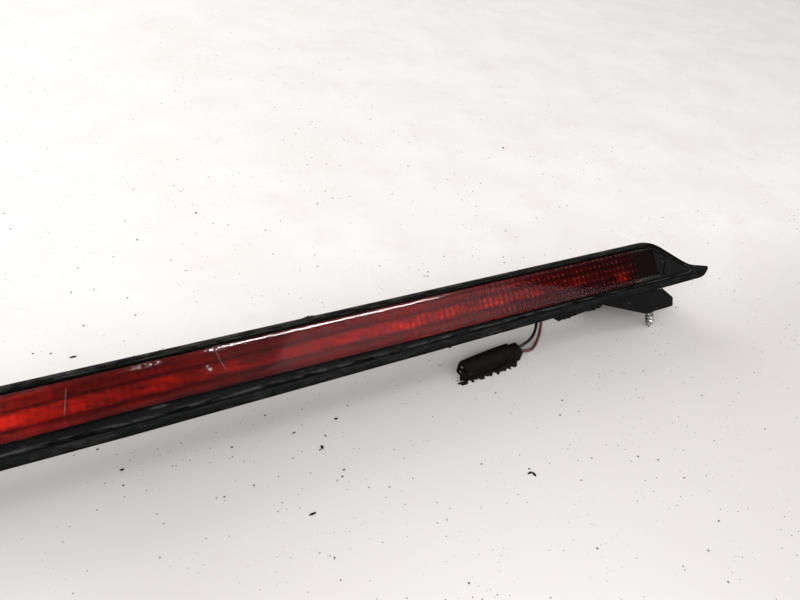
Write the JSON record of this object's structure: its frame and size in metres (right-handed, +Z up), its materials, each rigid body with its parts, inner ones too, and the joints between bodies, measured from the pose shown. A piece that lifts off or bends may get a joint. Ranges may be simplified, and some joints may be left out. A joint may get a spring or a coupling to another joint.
{
  "type": "third brake light",
  "caption": "Long slim high-level brake lamp: red prismed lens in a rubber frame with beak ends, black housing, two screw feet and a short lead with a two-pin connector.",
  "frame": {"origin": "on the table under the middle of the lamp's box, without its lead and connector", "axes": "+X along the lamp towards its right end, +Y away from the lens's side, +Z up from the table"},
  "size_m": [0.6892, 0.0464, 0.0504],
  "materials": {
    "lens_red": "clear red acrylic, glossy outside with light scratches, prisms inside",
    "rubber_black": "black rubber, satin, scuffed and dusty",
    "shell_black": "black moulded plastic, fine grain",
    "foam_black": "black foam, ragged",
    "reflector_silver": "metal-coated plastic",
    "board_green": "green solder mask",
    "diode_red": "tinted clear resin",
    "resistor_tan": "lacquered",
    "zinc": "bright zinc plate",
    "tin": "tinned",
    "connector_black": "worn black-brown plastic",
    "wire_black": "satin insulation",
    "wire_brown": "satin insulation"
  },
  "bodies": {
    "root": {"board_screw_1": "zinc", "board_screw_2": "zinc", "board_screw_3": "zinc", "board_screw_4": "zinc", "cable_black": "wire_black", "cable_brown": "wire_brown", "cable_grommet": "rubber_black", "circuit_board": "board_green", "connector_body": "connector_black", "connector_collar": "connector_black", "contact_1": "tin", "contact_2": "tin", "diode": "shell_black", "end_panel_left": "shell_black", "end_panel_right": "shell_black", "foam_pad_left": "foam_black", "foam_pad_right": "foam_black", "foot_left": "shell_black", "foot_right": "shell_black", "gasket": "rubber_black", "housing": "shell_black", "led_01": "diode_red", "led_02": "diode_red", "led_03": "diode_red", "led_04": "diode_red", "led_05": "diode_red", "led_06": "diode_red", "led_07": "diode_red", "led_08": "diode_red", "led_09": "diode_red", "led_10": "diode_red", "led_11": "diode_red", "led_12": "diode_red", "led_13": "diode_red", "led_14": "diode_red", "led_15": "diode_red", "led_16": "diode_red", "led_17": "diode_red", "led_18": "diode_red", "led_19": "diode_red", "led_20": "diode_red", "lens": "lens_red", "mounting_screw_left": "zinc", "mounting_screw_right": "zinc", "reflector": "reflector_silver", "resistor_1": "resistor_tan", "resistor_2": "resistor_tan", "resistor_3": "resistor_tan", "resistor_4": "resistor_tan", "solder_pin_1": "tin", "solder_pin_2": "tin", "washer_left": "zinc", "washer_right": "zinc"},
    "latch": {"connector_latch": "connector_black"}
  },
  "joints": [
    {"name": "latch_press", "type": "hinge", "parent": "root", "child": "latch", "pos_m": [0.18023, -0.01987, 0.0042], "axis": [0, 0, 1], "range_deg": [0, 6], "stiffness_Nm_per_rad": 0.02}
  ]
}
